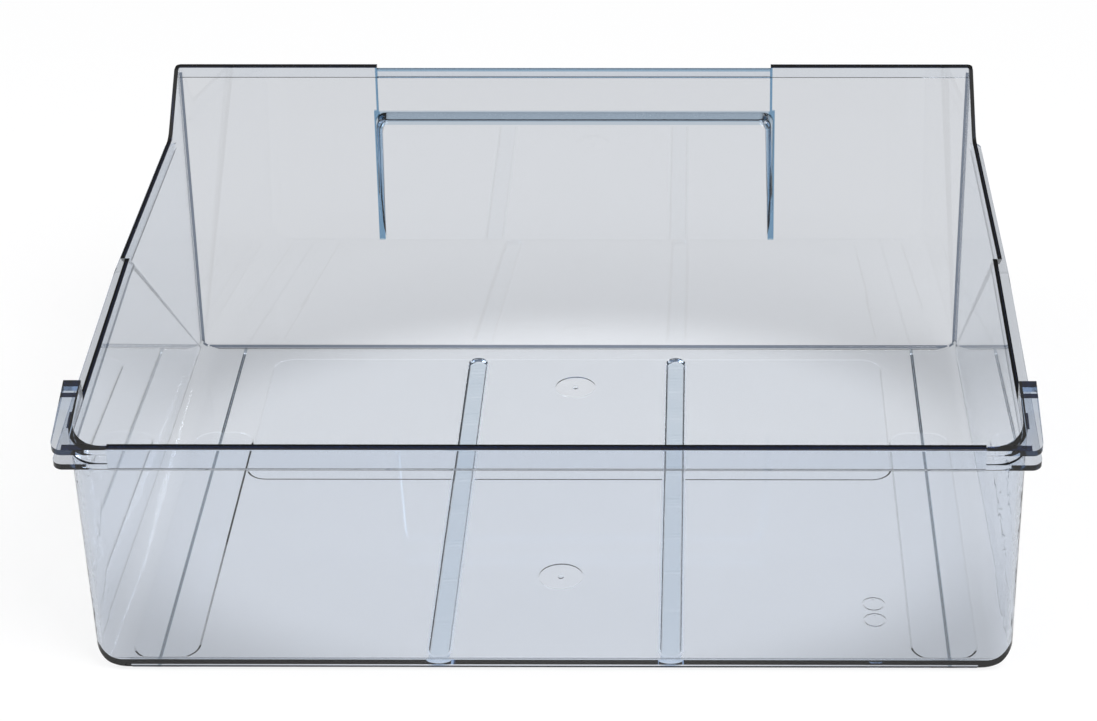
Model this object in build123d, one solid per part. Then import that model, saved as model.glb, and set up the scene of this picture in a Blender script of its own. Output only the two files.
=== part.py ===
from build123d import *
import os
from math import cos, radians, sin, tan

# Overall size in millimetres: x across, y from front (-) to rear (+), z up from the runners
overall_width = 398.0
overall_depth = 298.6
overall_height = 148.7

# Walls and floor
wall = 1.9
floor_thickness = 2.4
runner_drop = 1.8
front_lean = 8.0
rear_lean = 4.0
side_draft = 0.12
side_flare = 0.013
flat_margin = 10.0
side_cove = 12.0
side_cove_sweep = 60.0
end_cove = 2.6
end_edge = 1.0
front_corner = 0.6
rear_corner_floor = 5.0
rear_corner_rim = 13.0

# Rim line, from the rear corner to the front
rear_rim_height = 116.2
corner_rim_drop = 1.5
lug_rise = 10.5
lug_length = 34.5
lug_setback = 1.5
side_rim_low_rise = 1.0
side_rim_high_rise = 10.1
cheek_start_y = 7.5
ear_foot_setback = 36.8
ear_top_setback = 6.3
ear_curve = 14.0

# Front cheeks, rim bands, rails and rear lugs
cheek_step = 0.6
cheek_draft = 0.85
front_bead_proud = 1.2
front_bead_height = 6.0
rear_band_proud = 1.7
rear_band_height = 9.5
rear_band_run_out = 3.5
rear_band_round = 0.8
rear_band_end = 23.0
lug_corner = 4.5
lug_end_thickness = 2.5
lug_peak_thickness = 7.7
rail_proud = 5.5
rail_drop = 6.3
rail_thickness = 2.6
rail_front_setback = 27.3

# Handle pocket, measured along the inside of the front wall from the floor
pocket_half_width = 96.8
pocket_foot = 57.5
pocket_top = 123.5
pocket_depth = 10.5
pocket_corner = 5.0
pocket_draft = 10.0
pocket_round = 2.6
pocket_run_out = 3.0
strip_half_width = 95.2
strip_shift = 1.3
strip_drop = 1.1
lip_proud = 2.4
lip_height = 4.5

# Floor features
channel_width = 8.9
channel_x = 49.1
channel_front_gap = 11.4
channel_draft = 25.0
channel_round = 0.9
rib_extra_width = 2.0
side_runner_inset = 12.7
side_runner_width = 1.4
side_runner_drop = 0.6
side_runner_front_gap = 4.2
side_runner_draft = 45.0
rear_foot_width = 3.0
rear_foot_drop = 1.3
rear_foot_inset = 0.8
rear_foot_root = 1.2
rear_foot_draft = 15.0
pad_drop = 0.3
pad_draft = 72.0
side_pad_width = 28.7
pad_corner_share = 0.35
front_pad_gap = 10.4
front_pad_length = 110.5
side_pad_gap = 79.5
gate_diameter = 19.5
gate_pip = 2.6
gate_depth = 0.6
gate_places = ((-88.3, pad_drop), (73.8, 0.0))
dial_diameter = 10.0
dial_line = 0.7
dial_depth = 0.4
dial_places = ((-136.8, 95.8), (-136.8, 107.8))

# Inside of the tub, worked back from the overall size
floor_top = runner_drop + floor_thickness
front_slope = tan(radians(front_lean))
rear_slope = tan(radians(rear_lean))
inside_front_y = -overall_depth / 2 + front_bead_proud + wall + (overall_height - floor_top) * front_slope
band_edge = rear_rim_height - rear_band_round
inside_rear_y = overall_depth / 2 - rear_band_proud - wall - (band_edge - floor_top) * rear_slope
lug_rear_y = overall_depth / 2 - lug_setback
lug_front_y = lug_rear_y - lug_length
lug_peak_height = rear_rim_height + lug_rise
corner_rim_height = rear_rim_height - corner_rim_drop
side_rim_low = rear_rim_height + side_rim_low_rise
side_rim_high = rear_rim_height + side_rim_high_rise
ear_foot_y = -overall_depth / 2 + ear_foot_setback
ear_top_y = -overall_depth / 2 + ear_top_setback
rail_front_y = -overall_depth / 2 + rail_front_setback
rear_band_half_width = overall_width / 2 - rear_band_end
middle_half_width = overall_width / 2 - rail_proud - wall - side_flare * lug_rear_y
flat_half_width = middle_half_width - flat_margin
pad_half_width = flat_half_width - side_pad_width
side_runner_x = flat_half_width - side_runner_inset
tub_top = overall_height + 10.0
reach = overall_width


def front_y(z: float, grow: float) -> float:
    """Depth of the front wall at a height, grown outwards by a thickness."""
    return inside_front_y - (z - floor_top) * front_slope - grow


def rear_y(z: float, grow: float) -> float:
    """Depth of the rear wall at a height, grown outwards by a thickness."""
    return inside_rear_y + (z - floor_top) * rear_slope + grow


def half_width(y: float, z: float, cheek: bool) -> float:
    """Half of the inside width, along the plain side wall or its stepped-out front cheek."""
    step, draft = (cheek_step, cheek_draft) if cheek else (0.0, side_draft)
    return middle_half_width + step + side_flare * y + (z - floor_top) * tan(radians(draft))


def plan_section(z: float, grow: float, cheek: bool, bead: float) -> Sketch:
    """Rounded outline of the tub at height z, grown by a thickness and by a bead at the front."""
    front = front_y(z, grow + bead)
    rear = rear_y(z, grow)
    front_half = half_width(front, z, cheek) + grow
    rear_half = half_width(rear, z, cheek) + grow
    outline = Polyline(
        (-front_half, front),
        (front_half, front),
        (rear_half, rear),
        (-rear_half, rear),
        close=True,
    )
    face = Sketch() + make_face(outline)
    blend = (z - floor_top) / (rear_rim_height - floor_top)
    rear_radius = rear_corner_floor + (rear_corner_rim - rear_corner_floor) * blend + grow
    face = fillet(face.vertices().sort_by(Axis.Y)[:2], front_corner + grow)
    face = fillet(face.vertices().sort_by(Axis.Y)[-2:], rear_radius)
    return Plane.XY.offset(z) * face


def wall_block(z0: float, z1: float, grow: float, cheek: bool = False, bead: float = 0.0) -> Part:
    """Block between the leaning walls from one height to another."""
    sections = [plan_section(z, grow, cheek, bead) for z in (z0, z1)]
    return loft(sections, ruled=True)


def side_prism(outline: Sketch, half: float = reach) -> Part:
    """Prism across the drawer over a face drawn in depth and height."""
    return extrude(Plane.YZ * outline, amount=half, both=True)


def polygon(*points: tuple[float, float]) -> Sketch:
    """Face inside straight lines from point to point."""
    return Sketch() + make_face(Polyline(*points, close=True))


def slab(half: float, y_range: tuple[float, float], z_range: tuple[float, float]) -> Part:
    """Block across the middle of the drawer."""
    (y0, y1), (z0, z1) = y_range, z_range
    return side_prism(polygon((y0, z0), (y1, z0), (y1, z1), (y0, z1)), half)


def floor_profile(bottom: float) -> Part:
    """Endless trough along the drawer: flat floor with a wide cove up to each side wall."""
    radius = side_cove + floor_top - bottom
    bend = CenterArc((flat_half_width, bottom + radius), radius, -90.0, side_cove_sweep)
    foot = bend @ 1
    sweep = radians(side_cove_sweep)
    high = foot + Vector(cos(sweep), sin(sweep)) * reach
    straight = Polyline(foot, high, (0.0, high.Y), (0.0, bottom), (flat_half_width, bottom))
    right = extrude(Plane.XZ * make_face([bend, straight]), amount=reach, both=True)
    return right + mirror(right, about=Plane.YZ)


def end_profile(bottom: float, grow: float) -> Part:
    """Endless trough across the drawer: floor with a small cove up to the front and rear walls."""
    outline = polygon(
        (front_y(tub_top, grow), tub_top),
        (front_y(bottom, grow), bottom),
        (rear_y(bottom, grow), bottom),
        (rear_y(tub_top, grow), tub_top),
    )
    radius = end_edge if grow else end_cove
    return side_prism(fillet(outline.vertices().group_by(Axis.Y)[0], radius))


def tub(grow: float, cheek: bool = False) -> Part:
    """Solid body of the tub: the cavity with no growth, the outside with the wall's thickness."""
    bottom = floor_top - floor_thickness if grow else floor_top
    return wall_block(bottom, tub_top, grow, cheek) & floor_profile(bottom) & end_profile(bottom, grow)


# Everything above the rim line: lug slope, side rim, cheek, ear and front wall
above_line = polygon(
    (reach, corner_rim_height),
    (lug_rear_y, corner_rim_height),
    (lug_front_y, lug_peak_height),
    (lug_front_y, side_rim_low),
    (cheek_start_y, side_rim_high),
    (ear_foot_y, side_rim_high),
    (ear_top_y, overall_height),
    (-reach, overall_height),
    (-reach, reach),
    (reach, reach),
)
ear_foot = above_line.vertices().sort_by_distance(Vector(ear_foot_y, side_rim_high))[0]
above_rim = side_prism(fillet(ear_foot, ear_curve))

# Region of the stepped-out front cheeks, ahead of the diagonal on each side wall
cheek_region = side_prism(
    polygon(
        (cheek_start_y, tub_top),
        (cheek_start_y, side_rim_high),
        (inside_front_y, runner_drop),
        (-reach, runner_drop),
        (-reach, tub_top),
    )
)


def cheeked_tub(grow: float) -> Part:
    """Tub whose sides step out ahead of the diagonal."""
    return (tub(grow) - cheek_region) + (tub(grow, cheek=True) & cheek_region)


# Outer body with its cheeks and the bead along the front wall's top, cut to the rim line
bead_foot = overall_height - front_bead_height
front_bead = wall_block(bead_foot, tub_top, wall, cheek=True, bead=front_bead_proud)
front_bead &= slab(reach, (-reach, front_y(bead_foot, 0.0)), (bead_foot, tub_top))
outer = cheeked_tub(wall) + front_bead - above_rim

# Thick band along the rear rim, rounded at its upper edge and sloped back to the wall at its foot
band_foot = rear_rim_height - rear_band_height
band_root = plan_section(band_foot - rear_band_run_out, wall / 2, False, 0.0)
band_shoulder = plan_section(band_foot, wall + rear_band_proud, False, 0.0)
band = wall_block(band_foot, rear_rim_height, wall + rear_band_proud)
band += loft([band_root, band_shoulder], ruled=True)
band &= slab(rear_band_half_width, (inside_rear_y, reach), (0.0, rear_rim_height))
band = fillet(band.edges().group_by(Axis.Z)[-1].sort_by(Axis.Y)[-1], rear_band_round)

# Side rails that follow the rim line, with the sloped guide lugs at their rear ends
rail_half = middle_half_width + wall + rail_proud
rail_front_half = rail_half + side_flare * rail_front_y
rail_plan = polygon(
    (-rail_front_half, rail_front_y),
    (rail_front_half, rail_front_y),
    (overall_width / 2, lug_rear_y),
    (-overall_width / 2, lug_rear_y),
)
rail_plan = fillet(rail_plan.vertices(), lug_corner)
rail_block = extrude(rail_plan, amount=overall_height)
rim_slope = (side_rim_high - side_rim_low) / (lug_front_y - cheek_start_y)
rail_high = side_rim_high - rail_drop
rail_low = rail_high - rim_slope * (lug_rear_y - cheek_start_y)
rails = rail_block & side_prism(
    polygon(
        (rail_front_y, rail_high),
        (cheek_start_y, rail_high),
        (lug_rear_y, rail_low),
        (lug_rear_y, rail_low - rail_thickness),
        (cheek_start_y, rail_high - rail_thickness),
        (rail_front_y, rail_high - rail_thickness),
    )
)
lugs = rail_block & side_prism(
    polygon(
        (lug_rear_y, corner_rim_height),
        (lug_front_y, lug_peak_height),
        (lug_front_y, lug_peak_height - lug_peak_thickness),
        (lug_rear_y, corner_rim_height - lug_end_thickness),
    )
)
lugs -= slab(rear_band_half_width, (-reach, reach), (0.0, tub_top))

# Runner ribs under the floor
under = Plane(origin=(0, 0, runner_drop), x_dir=(1, 0, 0), z_dir=(0, 0, -1))
channel_front_y = inside_front_y + channel_front_gap
channel_length = rear_y(floor_top, -end_cove) - 2 * channel_round - channel_front_y
channel_y = channel_front_y + channel_length / 2
channel_plan = SlotOverall(channel_length, channel_width, rotation=90)
rib_plan = SlotOverall(channel_length + rib_extra_width, channel_width + rib_extra_width, rotation=90)
side_runner_front_y = inside_front_y + side_runner_front_gap
side_runner_length = rear_y(floor_top, -end_cove) - side_runner_front_y
side_runner_y = side_runner_front_y + side_runner_length / 2
side_runner_plan = SlotOverall(side_runner_length, side_runner_width, rotation=90)
ribs = Part()
for side in (-1, 1):
    place = under * Pos(side * channel_x, -channel_y)
    ribs += extrude(place * rib_plan, amount=runner_drop, taper=channel_draft)
    place = under * Pos(side * side_runner_x, -side_runner_y)
    ribs += extrude(place * side_runner_plan, amount=side_runner_drop, taper=side_runner_draft)

# Low foot ridge along the rear edge, rooted inside the floor
rear_foot_y = rear_y(runner_drop, wall) - rear_foot_inset - rear_foot_width / 2
rear_foot_plan = SlotOverall(2 * flat_half_width, rear_foot_width)
place = under.offset(-rear_foot_root) * Pos(0, -rear_foot_y)
ribs += extrude(place * rear_foot_plan, amount=rear_foot_root + rear_foot_drop, taper=rear_foot_draft)

# Shallow foot pads under the floor, with soft sloping edges
pad_corner = pad_corner_share * side_pad_width
front_pad = RectangleRounded(2 * pad_half_width, front_pad_length, pad_corner)
front_pad_y = inside_front_y + front_pad_gap + front_pad_length / 2
side_pad_front_y = inside_front_y + side_pad_gap
side_pad_length = rear_y(floor_top, -end_cove) - side_pad_front_y
side_pad = RectangleRounded(side_pad_width, side_pad_length, pad_corner)
pads = extrude(under * Pos(0, -front_pad_y) * front_pad, amount=pad_drop, taper=pad_draft)
for side in (-1, 1):
    place = under * Pos(side * (pad_half_width + side_pad_width / 2), -side_pad_front_y - side_pad_length / 2)
    pads += extrude(place * side_pad, amount=pad_drop, taper=pad_draft)

body = outer + band + rails + lugs + ribs + pads

# Cavity, with the cheeks and the two runner channels sunk in the floor
cavity = cheeked_tub(0.0)
floor_down = Plane(origin=(0, 0, floor_top), x_dir=(1, 0, 0), z_dir=(0, 0, -1))
for side in (-1, 1):
    place = floor_down * Pos(side * channel_x, -channel_y)
    cavity += extrude(place * channel_plan, amount=runner_drop, taper=channel_draft)
body = body - cavity

# Rounded shoulders along the runner channels
shoulders = body.edges().filter_by_position(Axis.Z, floor_top - wall / 10, floor_top + wall / 10)
shoulders = [edge for edge in shoulders if abs(abs(edge.center().X) - channel_x) < channel_width]
body = fillet(shoulders, channel_round)

# Frame of the front wall: x across, y up along the wall, z into the drawer
lean = radians(front_lean)
front_wall = Plane(
    origin=(0, inside_front_y, floor_top),
    x_dir=(-1, 0, 0),
    z_dir=(0, cos(lean), sin(lean)),
)
wall_side = Plane(front_wall.origin, x_dir=front_wall.y_dir, z_dir=front_wall.x_dir)
front_top = (overall_height - floor_top) / cos(lean)


def pocket(shrink: float, radius: float) -> Part:
    """Handle pocket as a solid shrunk by a thickness, with its face rounded off to the sides."""
    back = -pocket_run_out * wall
    top = pocket_top - shrink
    foot = pocket_foot - pocket_run_out
    slope = pocket_depth / (pocket_top - pocket_foot)
    height = top - foot + pocket_corner
    outline = RectangleRounded(2 * (pocket_half_width - shrink), height, pocket_corner)
    outline = front_wall * Pos(0, top - height / 2) * outline
    core = extrude(outline, amount=2 * pocket_depth, taper=pocket_draft) + extrude(outline, amount=back)
    profile = polygon(
        (foot, back),
        (foot, (foot - pocket_foot) * slope - shrink),
        (top + wall, (top + wall - pocket_foot) * slope - shrink),
        (top + wall, back),
    )
    shape = core & extrude(wall_side * profile, amount=reach, both=True)
    sloping = shape.faces().sort_by(Axis.Y)[-1]
    return fillet(sloping.edges().sort_by(Axis.Z)[1:], radius)


def strip_block(y_range: tuple[float, float], z_range: tuple[float, float]) -> Part:
    """Block over the grip strip, by rise along the wall and depth from its inside."""
    (y0, y1), (z0, z1) = y_range, z_range
    outline = Pos(0, (y0 + y1) / 2, z0) * Rectangle(2 * strip_half_width, y1 - y0)
    return extrude(front_wall * outline, amount=z1 - z0)


# Handle pocket: a hood inside the drawer over a recess that opens to the front
hood = pocket(0.0, pocket_round) & tub(wall)
recess = pocket(wall, pocket_round - wall / 2)

# Grip strip above the pocket, shifted into the drawer, with a rolled lip on its upper edge
strip_top = front_top - strip_drop
strip_foot = pocket_top - wall
strip_skin = strip_shift - wall
clear = pocket_depth
strip = strip_block((strip_foot, strip_top), (-wall / 2, strip_shift))
strip_relief = strip_block((strip_foot, strip_top + wall), (-clear, strip_skin))
strip_cut = strip_block((strip_top, strip_top + clear), (-clear, clear))
lip = strip_block((strip_top - lip_height, strip_top), (strip_skin - lip_proud, strip_skin + wall / 2))
lip = fillet(lip.edges().filter_by(Axis.X).sort_by(Axis.Y)[:2], lip_proud / 2)
body = body + hood + strip - strip_relief - strip_cut - recess + lip

# Gate rings under the floor and plain date dials on it
for y, lowered in gate_places:
    ring = Circle(gate_diameter / 2) - Circle(gate_pip / 2)
    body -= extrude(Pos(0, y) * ring, amount=runner_drop - lowered + gate_depth)
for x, y in dial_places:
    dial = Circle(dial_diameter / 2) - Circle(dial_diameter / 2 - dial_line)
    dial += Rectangle(dial_line, dial_diameter - 4 * dial_line)
    body -= extrude(Pos(x, y, floor_top) * dial, amount=-dial_depth)

part_name = "drawer_tub"
os.makedirs("parts", exist_ok=True)
body.label = part_name
export_step(body, f"parts/{part_name}.step")
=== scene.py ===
"""Clear freezer drawer on a white studio sweep, dressed over its CAD frame."""

import logging
from dataclasses import dataclass, field
from enum import Enum

import bmesh
import bpy
from mathutils import Matrix, Vector


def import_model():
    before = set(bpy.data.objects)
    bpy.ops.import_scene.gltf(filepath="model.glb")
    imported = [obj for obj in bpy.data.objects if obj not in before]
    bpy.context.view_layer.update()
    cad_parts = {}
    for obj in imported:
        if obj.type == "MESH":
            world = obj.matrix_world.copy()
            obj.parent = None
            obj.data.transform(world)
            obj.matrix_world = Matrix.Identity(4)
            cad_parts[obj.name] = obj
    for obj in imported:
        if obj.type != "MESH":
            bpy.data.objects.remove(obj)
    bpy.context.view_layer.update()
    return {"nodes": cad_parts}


log = logging.getLogger("freezer_drawer")

MM = 0.001
BEYOND = 1.0

RGB = tuple[float, float, float]
XYZ = tuple[float, float, float]
Limits = tuple[float, float]
Socket = bpy.types.NodeSocket
Value = float | Socket
Axes = tuple[Socket, Socket, Socket]


class DrawerNode(Enum):
    """Names of the CAD nodes that the scene dresses."""

    TUB = "drawer_tub"


class NodeType(Enum):
    """Shader nodes that the finishes and the room use."""

    OUTPUT = "ShaderNodeOutputMaterial"
    ROOM_OUTPUT = "ShaderNodeOutputWorld"
    PRINCIPLED = "ShaderNodeBsdfPrincipled"
    DIFFUSE = "ShaderNodeBsdfDiffuse"
    EMISSION = "ShaderNodeEmission"
    BACKGROUND = "ShaderNodeBackground"
    ABSORPTION = "ShaderNodeVolumeAbsorption"
    MIX_SHADER = "ShaderNodeMixShader"
    COORDINATE = "ShaderNodeTexCoord"
    LIGHT_PATH = "ShaderNodeLightPath"
    NOISE = "ShaderNodeTexNoise"
    BUMP = "ShaderNodeBump"
    MAPPING = "ShaderNodeMapping"
    MAP_RANGE = "ShaderNodeMapRange"
    SEPARATE = "ShaderNodeSeparateXYZ"
    VECTOR_MATH = "ShaderNodeVectorMath"
    MATH = "ShaderNodeMath"
    MIX = "ShaderNodeMix"


class Sum(Enum):
    """Sums that the finishes work out."""

    ADD = "ADD"
    TAKE = "SUBTRACT"
    TIMES = "MULTIPLY"
    LEAST = "MINIMUM"
    MOST = "MAXIMUM"
    SIZE = "ABSOLUTE"
    ABOVE = "GREATER_THAN"
    NEAR = "COMPARE"


def fresh_material(name: str) -> tuple[bpy.types.Material, bpy.types.NodeTree]:
    """Makes a material with an empty node tree.

    Args:
        name: Name of the material.

    Returns:
        The material and its node tree.
    """
    material = bpy.data.materials.new(name)
    material.use_nodes = True
    material.node_tree.nodes.clear()
    return material, material.node_tree


def add_node(tree: bpy.types.NodeTree, kind: NodeType) -> bpy.types.Node:
    """Adds one shader node.

    Args:
        tree: Node tree that takes the node.
        kind: What the node is.

    Returns:
        The new node.
    """
    return tree.nodes.new(kind.value)


def add_sum(tree: bpy.types.NodeTree, kind: Sum, *values: Value) -> Socket:
    """Adds one sum.

    Args:
        tree: Node tree that takes the sum.
        kind: What the sum does.
        values: Values that go into it, each a number or a socket.

    Returns:
        Socket of the result.
    """
    node = add_node(tree, NodeType.MATH)
    node.operation = kind.value
    for socket, value in zip(node.inputs, values):
        if isinstance(value, bpy.types.NodeSocket):
            tree.links.new(value, socket)
        else:
            socket.default_value = value
    return node.outputs[0]


def soft_fall(tree: bpy.types.NodeTree, value: Socket, span: Limits, levels: Limits) -> Socket:
    """Adds a smooth change from one level to another.

    Args:
        tree: Node tree that takes the change.
        value: Socket that the change follows.
        span: Values at which it starts and ends.
        levels: Levels at its start and at its end.

    Returns:
        Socket of the level.
    """
    fall = add_node(tree, NodeType.MAP_RANGE)
    fall.interpolation_type = "SMOOTHSTEP"
    fall.inputs["From Min"].default_value = span[0]
    fall.inputs["From Max"].default_value = span[1]
    fall.inputs["To Min"].default_value = levels[0]
    fall.inputs["To Max"].default_value = levels[1]
    tree.links.new(value, fall.inputs["Value"])
    return fall.outputs["Result"]


@dataclass
class ZoneMaths:
    """Works out zones of the moulding as shader sums on its Object coordinates."""

    tree: bpy.types.NodeTree
    place: Socket

    def axes(self) -> Axes:
        """Splits the place into its distance from the middle, depth and height.

        Returns:
            Sockets of the distance across, the depth and the height, in metres.
        """
        split = add_node(self.tree, NodeType.SEPARATE)
        self.tree.links.new(self.place, split.inputs["Vector"])
        across = self.work(Sum.SIZE, split.outputs["X"])
        return across, split.outputs["Y"], split.outputs["Z"]

    def work(self, kind: Sum, *values: Value) -> Socket:
        """Adds one sum to the plastic.

        Args:
            kind: What the sum does.
            values: Values that go into it.

        Returns:
            Socket of the result.
        """
        return add_sum(self.tree, kind, *values)

    def line(self, value: Socket, slope: float, level: float = 0.0) -> Socket:
        """Works out a straight line.

        Args:
            value: Socket that the line follows.
            slope: Rise of the line per unit of the value.
            level: Height of the line where the value is 0.

        Returns:
            Socket of the height.
        """
        return self.work(Sum.ADD, self.work(Sum.TIMES, value, slope), level)

    def inside(self, value: Socket, low: float, high: float) -> Socket:
        """Works out a zone between two limits.

        Args:
            value: Socket that is tested.
            low: Lower limit.
            high: Upper limit.

        Returns:
            Socket of the share, 1 inside and 0 outside.
        """
        return self.work(Sum.NEAR, value, (low + high) / 2.0, (high - low) / 2.0)

    def box(self, first: Socket, second: Socket) -> Socket:
        """Works out where two zones meet.

        Args:
            first: Share of one zone.
            second: Share of the other zone.

        Returns:
            Socket of the share, 1 where both hold.
        """
        return self.work(Sum.TIMES, first, second)

    def either(self, *shares: Socket) -> Socket:
        """Joins zones.

        Args:
            shares: Shares of the zones.

        Returns:
            Socket of the share, 1 where any of them holds.
        """
        joined = shares[0]
        for share in shares[1:]:
            joined = self.work(Sum.MOST, joined, share)
        return joined


@dataclass(frozen=True)
class ChannelZone:
    """Two long floor channels, where the plastic is seen twice over, darkened with painted shade.
    """

    # Painted shade: a darker blue-grey laid on the channels.
    tint_and_painted_shade: RGB = (0.66, 0.73, 0.80)
    centre: float = 49.1 * MM
    half: float = 4.3 * MM
    length: Limits = (-114.0 * MM, 139.5 * MM)
    top: float = 4.1 * MM

    def share(self, maths: ZoneMaths, axes: Axes) -> Socket:
        """Works out where the channels lie.

        Args:
            maths: Sums of the material.
            axes: Distance across, depth and height.

        Returns:
            Socket of the zone's share.
        """
        across, depth, height = axes
        wide = maths.inside(across, self.centre - self.half, self.centre + self.half)
        long = maths.inside(depth, *self.length)
        low = maths.inside(height, -BEYOND, self.top)
        return maths.box(maths.box(wide, long), low)


@dataclass(frozen=True)
class RunnerZone:
    """Two narrow side runners under the floor, marked with a painted dark line of shade."""

    # Painted shade: a dark line along each runner.
    tint_and_painted_shade: RGB = (0.33, 0.39, 0.45)
    centre: float = 167.0 * MM
    half: float = 0.8 * MM
    top: float = 1.9 * MM

    def share(self, maths: ZoneMaths, axes: Axes) -> Socket:
        """Works out where the side runners lie.

        Args:
            maths: Sums of the material.
            axes: Distance across, depth and height.

        Returns:
            Socket of the zone's share.
        """
        across, _, height = axes
        wide = maths.inside(across, self.centre - self.half, self.centre + self.half)
        return maths.box(wide, maths.inside(height, -BEYOND, self.top))


@dataclass(frozen=True)
class PocketZone:
    """Painted shade on the side blades and ledge of the handle pocket, and on the low strip of rim
    above it.
    """

    # Painted shade: a steel-blue darkening on the blades, ledge, strip and steps.
    tint_and_painted_shade: RGB = (0.22, 0.40, 0.58)
    blade_across: Limits = (94.4 * MM, 97.4 * MM)
    blade_height: Limits = (61.0 * MM, 126.6 * MM)
    ledge_height: Limits = (124.2 * MM, 126.8 * MM)
    ledge_share: float = 0.6
    strip_across: float = 95.2 * MM
    strip_height: Limits = (147.0 * MM, 148.3 * MM)
    step_across: Limits = (94.9 * MM, 96.1 * MM)
    step_height: Limits = (126.6 * MM, 148.4 * MM)
    depth: float = -130.0 * MM

    def share(self, maths: ZoneMaths, axes: Axes) -> Socket:
        """Works out where the blades, the ledge, the strip and its two steps lie.

        Args:
            maths: Sums of the material.
            axes: Distance across, depth and height.

        Returns:
            Socket of the zone's share.
        """
        across, depth, height = axes
        blade = maths.box(
            maths.inside(across, *self.blade_across),
            maths.inside(height, *self.blade_height),
        )
        ledge = maths.box(
            maths.inside(across, -BEYOND, self.blade_across[1]),
            maths.inside(height, *self.ledge_height),
        )
        ledge = maths.work(Sum.TIMES, ledge, self.ledge_share)
        strip = maths.box(
            maths.inside(across, -BEYOND, self.strip_across),
            maths.inside(height, *self.strip_height),
        )
        step = maths.box(
            maths.inside(across, *self.step_across),
            maths.inside(height, *self.step_height),
        )
        front = maths.inside(depth, -BEYOND, self.depth)
        return maths.box(maths.either(blade, strip, step, ledge), front)


@dataclass(frozen=True)
class SeamZone:
    """Inner foot and upright corners of the front panel, darkened with painted shade."""

    # Painted shade: a dark line along the foot and up the corners.
    tint_and_painted_shade: RGB = (0.07, 0.09, 0.13)
    foot_depth: Limits = (-126.8 * MM, -124.6 * MM)
    foot_height: Limits = (3.8 * MM, 5.5 * MM)
    corner_across: Limits = (187.4 * MM, 189.0 * MM)
    corner_spread: float = 0.0135
    corner_depth: Limits = (-125.7 * MM, -124.2 * MM)
    corner_lean: float = 0.1409
    corner_height: Limits = (4.0 * MM, 146.0 * MM)

    def share(self, maths: ZoneMaths, axes: Axes) -> Socket:
        """Works out where the foot and the two corners lie.

        Args:
            maths: Sums of the material.
            axes: Distance across, depth and height.

        Returns:
            Socket of the zone's share.
        """
        across, depth, height = axes
        foot = maths.box(
            maths.inside(depth, *self.foot_depth),
            maths.inside(height, *self.foot_height),
        )
        aside = maths.work(Sum.TAKE, across, maths.line(height, self.corner_spread))
        behind = maths.work(Sum.ADD, depth, maths.line(height, self.corner_lean))
        corner = maths.box(
            maths.inside(aside, *self.corner_across),
            maths.inside(behind, *self.corner_depth),
        )
        upright = maths.inside(height, *self.corner_height)
        return maths.either(foot, maths.box(corner, upright))


@dataclass(frozen=True)
class RimZone:
    """Top face of the rim all round, the lug caps and the rear heel, seen edge on and painted near
    black as shade.
    """

    # Painted shade: near black on the rim's top face, lug caps and heel.
    tint_and_painted_shade: RGB = (0.0002, 0.0006, 0.004)
    front_top: float = 148.7 * MM
    ear_slope: float = -0.7346
    ear_level: float = 43.66 * MM
    side_top: float = 126.3 * MM
    side_slope: float = -0.0861
    side_level: float = 126.95 * MM
    rear_depth: float = 143.8 * MM
    rear_top: float = 116.2 * MM
    corner_across: float = 176.2 * MM
    corner_drop: float = 1.1 * MM
    skin: float = 0.5 * MM
    wall_across: float = 194.3 * MM
    lug_depth: float = 112.8 * MM
    cap_height: Limits = (125.6 * MM, 127.5 * MM)
    notch_height: Limits = (123.7 * MM, 124.5 * MM)
    heel_depth: float = 139.3 * MM
    heel_top: float = 2.5 * MM

    def share(self, maths: ZoneMaths, axes: Axes) -> Socket:
        """Works out where the rim's top face, the lug caps and the rear heel lie.

        Args:
            maths: Sums of the material.
            axes: Distance across, depth and height.

        Returns:
            Socket of the zone's share.
        """
        across, depth, height = axes
        rim = maths.box(
            maths.work(Sum.NEAR, height, self.rim_top(maths, across, depth), self.skin),
            maths.inside(across, -BEYOND, self.wall_across),
        )
        cap = maths.either(
            maths.inside(height, *self.cap_height),
            maths.inside(height, *self.notch_height),
        )
        lug = maths.box(cap, maths.inside(depth, self.lug_depth, BEYOND))
        heel = maths.box(
            maths.inside(depth, self.heel_depth, BEYOND),
            maths.inside(height, -BEYOND, self.heel_top),
        )
        return maths.either(rim, lug, heel)

    def rim_top(self, maths: ZoneMaths, across: Socket, depth: Socket) -> Socket:
        """Follows the height of the rim from the front ears to the rear wall.

        Args:
            maths: Sums of the material.
            across: Distance from the middle.
            depth: Place from front to rear.

        Returns:
            Socket of the rim's height.
        """
        ear = maths.line(depth, self.ear_slope, self.ear_level)
        ear = maths.work(Sum.LEAST, ear, self.front_top)
        side = maths.line(depth, self.side_slope, self.side_level)
        side = maths.work(Sum.LEAST, side, self.side_top)
        side = maths.work(Sum.MOST, ear, side)
        corner = maths.work(Sum.ABOVE, across, self.corner_across)
        rear = maths.line(corner, -self.corner_drop, self.rear_top)
        behind = maths.work(Sum.ABOVE, depth, self.rear_depth)
        step = maths.work(Sum.TIMES, maths.work(Sum.TAKE, rear, side), behind)
        return maths.work(Sum.ADD, side, step)


Zone = ChannelZone | RunnerZone | PocketZone | SeamZone | RimZone


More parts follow.
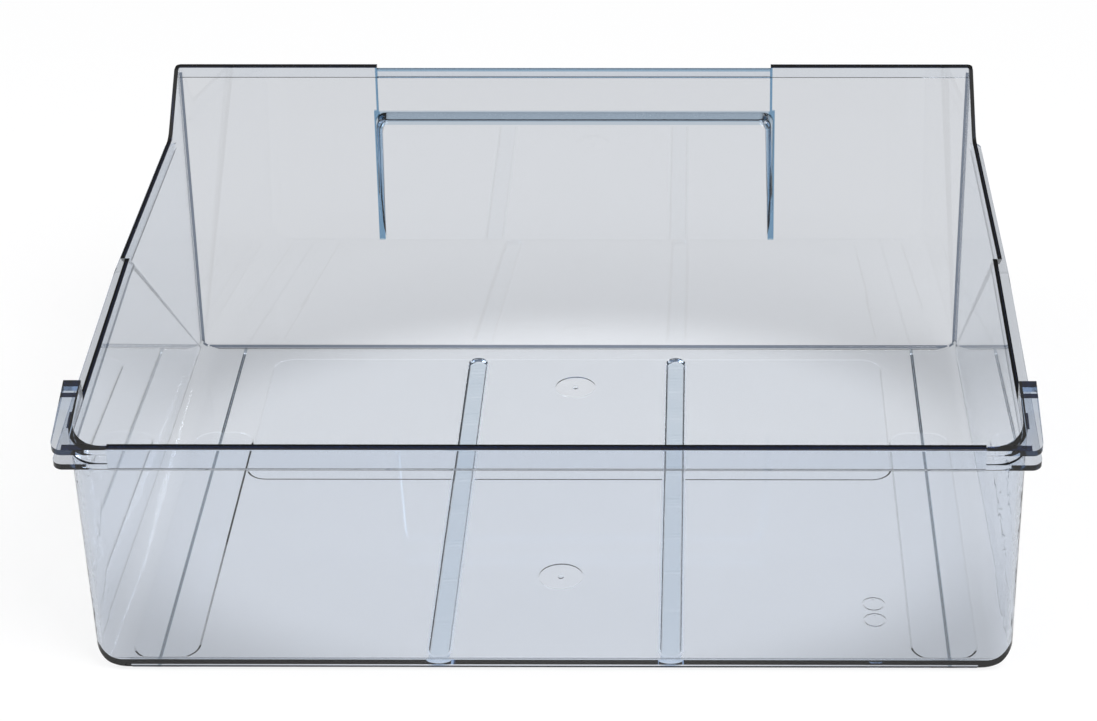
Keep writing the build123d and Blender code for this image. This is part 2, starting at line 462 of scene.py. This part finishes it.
@dataclass(frozen=True)
class ClearPolystyrene:
    """Clear glossy polystyrene with a faint blue colour, and painted shade laid on its channels,
    runners, handle pocket, seams and rim.
    """

    name: str = "clear_polystyrene"
    tint_and_painted_shade: RGB = (0.99, 0.99, 1.0)
    # Zones of painted shade, each a darker colour laid over the plain plastic.
    zones: tuple[Zone, ...] = (
        ChannelZone(),
        RunnerZone(),
        PocketZone(),
        SeamZone(),
        RimZone(),
    )
    ior: float = 1.59
    clearness: float = 1.0
    gloss: Limits = (0.0, 0.003)
    flow_scale: float = 18.0
    flow_detail: float = 2.0
    flow_strength: float = 0.2
    flow_height: float = 0.02 * MM
    absorb_tint: RGB = (0.26, 0.46, 0.70)
    absorb_density: float = 68.0

    def make(self) -> bpy.types.Material:
        """Builds the plastic's node tree.

        Returns:
            The finished material.
        """
        material, tree = fresh_material(self.name)
        link = tree.links.new
        output = add_node(tree, NodeType.OUTPUT)
        plastic = add_node(tree, NodeType.PRINCIPLED)
        plastic.inputs["IOR"].default_value = self.ior
        plastic.inputs["Transmission Weight"].default_value = self.clearness
        depth = add_node(tree, NodeType.ABSORPTION)
        depth.inputs["Color"].default_value = (*self.absorb_tint, 1.0)
        depth.inputs["Density"].default_value = self.absorb_density
        place = add_node(tree, NodeType.COORDINATE).outputs["Object"]
        flow = add_node(tree, NodeType.NOISE)
        flow.inputs["Scale"].default_value = self.flow_scale
        flow.inputs["Detail"].default_value = self.flow_detail
        gloss = add_node(tree, NodeType.MAP_RANGE)
        gloss.inputs["To Min"].default_value = self.gloss[0]
        gloss.inputs["To Max"].default_value = self.gloss[1]
        ripple = add_node(tree, NodeType.BUMP)
        ripple.inputs["Strength"].default_value = self.flow_strength
        ripple.inputs["Distance"].default_value = self.flow_height
        link(self.tint_with_painted_shade(tree, place), plastic.inputs["Base Color"])
        link(place, flow.inputs["Vector"])
        link(flow.outputs["Fac"], gloss.inputs["Value"])
        link(gloss.outputs["Result"], plastic.inputs["Roughness"])
        link(flow.outputs["Fac"], ripple.inputs["Height"])
        link(ripple.outputs["Normal"], plastic.inputs["Normal"])
        link(plastic.outputs["BSDF"], output.inputs["Surface"])
        link(depth.outputs["Volume"], output.inputs["Volume"])
        return material

    def tint_with_painted_shade(self, tree: bpy.types.NodeTree, place: Socket) -> Socket:
        """Lays the painted shade of the zones over the plain colour.

        Args:
            tree: Node tree of the plastic.
            place: Socket of the Object coordinates.

        Returns:
            Socket of the colour.
        """
        maths = ZoneMaths(tree, place)
        axes = maths.axes()
        colour = None
        for zone in self.zones:
            layer = add_node(tree, NodeType.MIX)
            layer.data_type = "RGBA"
            sockets = {socket.identifier: socket for socket in layer.inputs}
            tree.links.new(zone.share(maths, axes), sockets["Factor_Float"])
            if colour is None:
                sockets["A_Color"].default_value = (*self.tint_and_painted_shade, 1.0)
            else:
                tree.links.new(colour, sockets["A_Color"])
            sockets["B_Color"].default_value = (*zone.tint_and_painted_shade, 1.0)
            colour = next(end for end in layer.outputs if end.identifier == "Result_Color")
        return colour


@dataclass(frozen=True)
class StudioPaper:
    """Pale paper sweep that shows white to the camera, and through clear plastic a painted pool of
    light that falls to painted shade away from the drawer.
    """

    name: str = "studio_paper"
    colour: RGB = (0.86, 0.86, 0.87)
    white: float = 1.0
    shade: float = 0.2
    through_shade: float = 0.16
    # Painted pool of light and painted shade round it, seen only through the plastic and in its
    # reflections.
    pool_half: tuple[float, float] = (0.20, 0.15)
    pool_edge: Limits = (0.85, 1.2)
    pool_level: float = 1.0
    far_level: float = 0.69

    def make(self) -> bpy.types.Material:
        """Builds the paper's node tree.

        Returns:
            The finished material.
        """
        material, tree = fresh_material(self.name)
        link = tree.links.new
        output = add_node(tree, NodeType.OUTPUT)
        paper = add_node(tree, NodeType.DIFFUSE)
        paper.inputs["Color"].default_value = (*self.colour, 1.0)
        glow = add_node(tree, NodeType.EMISSION)
        path = add_node(tree, NodeType.LIGHT_PATH)
        camera = path.outputs["Is Camera Ray"]
        glossy = path.outputs["Is Glossy Ray"]
        clear = path.outputs["Is Transmission Ray"]
        through = add_sum(tree, Sum.MOST, glossy, clear)
        seen = add_sum(tree, Sum.TIMES, camera, 1.0 - self.shade)
        passed = add_sum(tree, Sum.TIMES, through, 1.0 - self.through_shade)
        level = add_node(tree, NodeType.MIX)
        level.inputs["B"].default_value = self.white
        blend = add_node(tree, NodeType.MIX_SHADER)
        link(camera, level.inputs["Factor"])
        link(self.pool(tree), level.inputs["A"])
        link(level.outputs["Result"], glow.inputs["Strength"])
        link(add_sum(tree, Sum.MOST, seen, passed), blend.inputs["Fac"])
        link(paper.outputs["BSDF"], blend.inputs[1])
        link(glow.outputs["Emission"], blend.inputs[2])
        link(blend.outputs["Shader"], output.inputs["Surface"])
        return material

    def pool(self, tree: bpy.types.NodeTree) -> Socket:
        """Lays the painted pool of light under the drawer, with painted shade farther out.

        Args:
            tree: Node tree of the paper.

        Returns:
            Socket of the paper's level.
        """
        place = add_node(tree, NodeType.COORDINATE)
        oval = add_node(tree, NodeType.MAPPING)
        oval.inputs["Scale"].default_value = (1.0 / self.pool_half[0], 1.0 / self.pool_half[1], 0.0)
        spread = add_node(tree, NodeType.VECTOR_MATH)
        spread.operation = "LENGTH"
        tree.links.new(place.outputs["Object"], oval.inputs["Vector"])
        tree.links.new(oval.outputs["Vector"], spread.inputs[0])
        levels = (self.pool_level, self.far_level)
        return soft_fall(tree, spread.outputs["Value"], self.pool_edge, levels)


@dataclass
class Drawer:
    """The moulded drawer, one clear piece that stays as its CAD node."""

    node: bpy.types.Object
    finish: ClearPolystyrene = field(default_factory=ClearPolystyrene)

    def dress(self) -> None:
        """Gives the moulding its clear plastic."""
        mesh = self.node.data
        mesh.materials.clear()
        mesh.materials.append(self.finish.make())
        log.info("dressed %s in %s", self.node.name, self.finish.name)


@dataclass(frozen=True)
class SoftBox:
    """One square soft light that faces the drawer."""

    name: str
    place: XYZ
    size: float
    power: float
    aim: XYZ = (0.0, 0.0, 0.06)

    def build(self) -> None:
        """Hangs the light."""
        lamp = bpy.data.lights.new(self.name, "AREA")
        lamp.shape = "SQUARE"
        lamp.size = self.size
        lamp.energy = self.power
        light = bpy.data.objects.new(self.name, lamp)
        ray = Vector(self.aim) - Vector(self.place)
        light.location = self.place
        light.rotation_euler = ray.to_track_quat("-Z", "Y").to_euler()
        bpy.context.scene.collection.objects.link(light)
        log.info("hung %s", self.name)


@dataclass
class Studio:
    """Floor, lights and the room round them."""

    floor_height: float = 0.0
    floor_half: float = 3.0
    paper: StudioPaper = field(default_factory=StudioPaper)
    lights: tuple[SoftBox, ...] = (
        SoftBox("key_softbox", (-0.9, 0.8, 1.6), 1.2, 28.0),
        SoftBox("fill_softbox", (1.2, 0.3, 1.2), 1.0, 10.0),
    )
    room: RGB = (1.0, 1.0, 1.0)
    white_level: float = 1.0
    room_level: float = 0.75
    dark_level: float = 0.12
    room_fall: Limits = (-0.85, -0.1)

    def build(self) -> None:
        """Lays the floor, hangs the lights and sets the room."""
        self.lay_floor()
        for light in self.lights:
            light.build()
        self.light_room()

    def lay_floor(self) -> None:
        """Lays the plain paper floor under the drawer."""
        mesh = bpy.data.meshes.new("studio_floor")
        grid = bmesh.new()
        bmesh.ops.create_grid(grid, x_segments=1, y_segments=1, size=self.floor_half)
        bmesh.ops.translate(grid, verts=grid.verts, vec=(0.0, 0.0, self.floor_height))
        grid.to_mesh(mesh)
        grid.free()
        mesh.materials.append(self.paper.make())
        floor = bpy.data.objects.new("studio_floor", mesh)
        bpy.context.scene.collection.objects.link(floor)
        log.info("laid %s", floor.name)

    def light_room(self) -> None:
        """Fills the room with plain light, white to the camera and dimmer at the front."""
        world = bpy.data.worlds.new("studio_room")
        bpy.context.scene.world = world
        world.use_nodes = True
        tree = world.node_tree
        tree.nodes.clear()
        link = tree.links.new
        output = add_node(tree, NodeType.ROOM_OUTPUT)
        place = add_node(tree, NodeType.COORDINATE)
        split = add_node(tree, NodeType.SEPARATE)
        link(place.outputs["Generated"], split.inputs["Vector"])
        levels = (self.dark_level, self.room_level)
        dim = add_node(tree, NodeType.BACKGROUND)
        dim.inputs["Color"].default_value = (*self.room, 1.0)
        link(soft_fall(tree, split.outputs["Y"], self.room_fall, levels), dim.inputs["Strength"])
        white = add_node(tree, NodeType.BACKGROUND)
        white.inputs["Strength"].default_value = self.white_level
        path = add_node(tree, NodeType.LIGHT_PATH)
        blend = add_node(tree, NodeType.MIX_SHADER)
        link(path.outputs["Is Camera Ray"], blend.inputs["Fac"])
        link(dim.outputs["Background"], blend.inputs[1])
        link(white.outputs["Background"], blend.inputs[2])
        link(blend.outputs["Shader"], output.inputs["Surface"])


@dataclass
class PhotoCamera:
    """Camera at the photograph's viewing angle."""

    place: XYZ = (-0.06290, 1.11047, 0.71891)
    right: XYZ = (-0.9999834, -0.0053821, -0.0020532)
    up: XYZ = (0.0009435, -0.5046551, 0.8633205)
    forward: XYZ = (0.0056827, -0.8633043, -0.5046518)
    focal_pixels: float = 2844.0
    image_width: float = 1097.0
    image_height: float = 721.0
    centre_x: float = 687.4
    centre_y: float = 361.0
    sensor: float = 36.0
    reach: Limits = (0.01, 50.0)

    def build(self) -> None:
        """Makes the camera and gives it to the scene."""
        data = bpy.data.cameras.new("photo_camera")
        data.sensor_fit = "HORIZONTAL"
        data.sensor_width = self.sensor
        data.lens = self.sensor * self.focal_pixels / self.image_width
        data.shift_x = (self.image_width / 2.0 - self.centre_x) / self.image_width
        data.shift_y = (self.centre_y - self.image_height / 2.0) / self.image_width
        data.clip_start, data.clip_end = self.reach
        camera = bpy.data.objects.new("photo_camera", data)
        turn = Matrix((Vector(self.right), Vector(self.up), -Vector(self.forward))).transposed()
        camera.matrix_world = Matrix.Translation(self.place) @ turn.to_4x4()
        bpy.context.scene.collection.objects.link(camera)
        bpy.context.scene.camera = camera
        log.info("set %s", camera.name)


def main() -> None:
    """Loads the frame, dresses the drawer and sets the studio round it."""
    logging.basicConfig(level=logging.INFO, format="%(name)s: %(message)s")
    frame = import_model()
    PhotoCamera().build()
    Drawer(frame["nodes"][DrawerNode.TUB.value]).dress()
    Studio().build()
    bpy.context.scene.view_settings.view_transform = "Standard"


if __name__ == "__main__":
    main()
